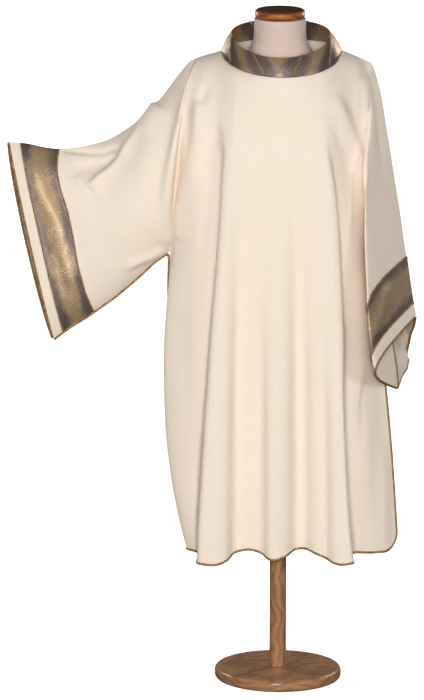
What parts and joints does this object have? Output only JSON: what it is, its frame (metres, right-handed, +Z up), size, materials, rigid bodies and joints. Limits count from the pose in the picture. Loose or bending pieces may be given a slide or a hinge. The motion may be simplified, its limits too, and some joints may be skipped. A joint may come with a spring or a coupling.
{
  "type": "dalmatic on a dress form",
  "caption": "Wide T-shaped cream vestment with lame neckband and sleeve bands edged in gold cord, one sleeve held out, standing on a limbless dress form.",
  "frame": {"origin": "middle of the underside of the round base, on the form's upright axis", "axes": "+Z up; -Y is the front of the vestment; -X is the side of the sleeve that is held out"},
  "size_m": [1.0254, 0.3312, 1.6835],
  "materials": {
    "cream_cloth": "fine plain weave, matt with a slight sheen",
    "lame": "ribbed metallic weave, gold in the middle and purple-grey towards the edges",
    "gold_cord": "twisted piping of gold and dark brown thread",
    "form_linen": "matt linen",
    "cap_wood": "glossy orange-brown varnish",
    "stand_wood": "satin brown varnish"
  },
  "bodies": {
    "root": {"front_panel": "cream_cloth", "back_panel": "cream_cloth", "left_sleeve_band": "lame", "right_sleeve_band": "lame", "neckband_front": "lame", "neckband_front_left": "lame", "neckband_front_right": "lame", "neckband_back": "lame", "neckband_back_left": "lame", "neckband_back_right": "lame", "front_edge_cord": "gold_cord", "back_edge_cord": "gold_cord", "left_band_inner_cord": "gold_cord", "left_band_outer_cord": "gold_cord", "left_cuff_cord": "gold_cord", "left_underarm_cord": "gold_cord", "right_band_inner_cord": "gold_cord", "right_band_outer_cord": "gold_cord", "right_cuff_cord": "gold_cord", "right_underarm_cord": "gold_cord", "neckband_cord_left": "gold_cord", "neckband_cord_right": "gold_cord", "neckband_cord_front_left": "gold_cord", "neckband_cord_front_right": "gold_cord", "neckband_cord_back_left": "gold_cord", "neckband_cord_back_right": "gold_cord", "torso": "form_linen", "neck_cap": "cap_wood", "pole": "stand_wood", "base": "stand_wood"}
  },
  "joints": []
}
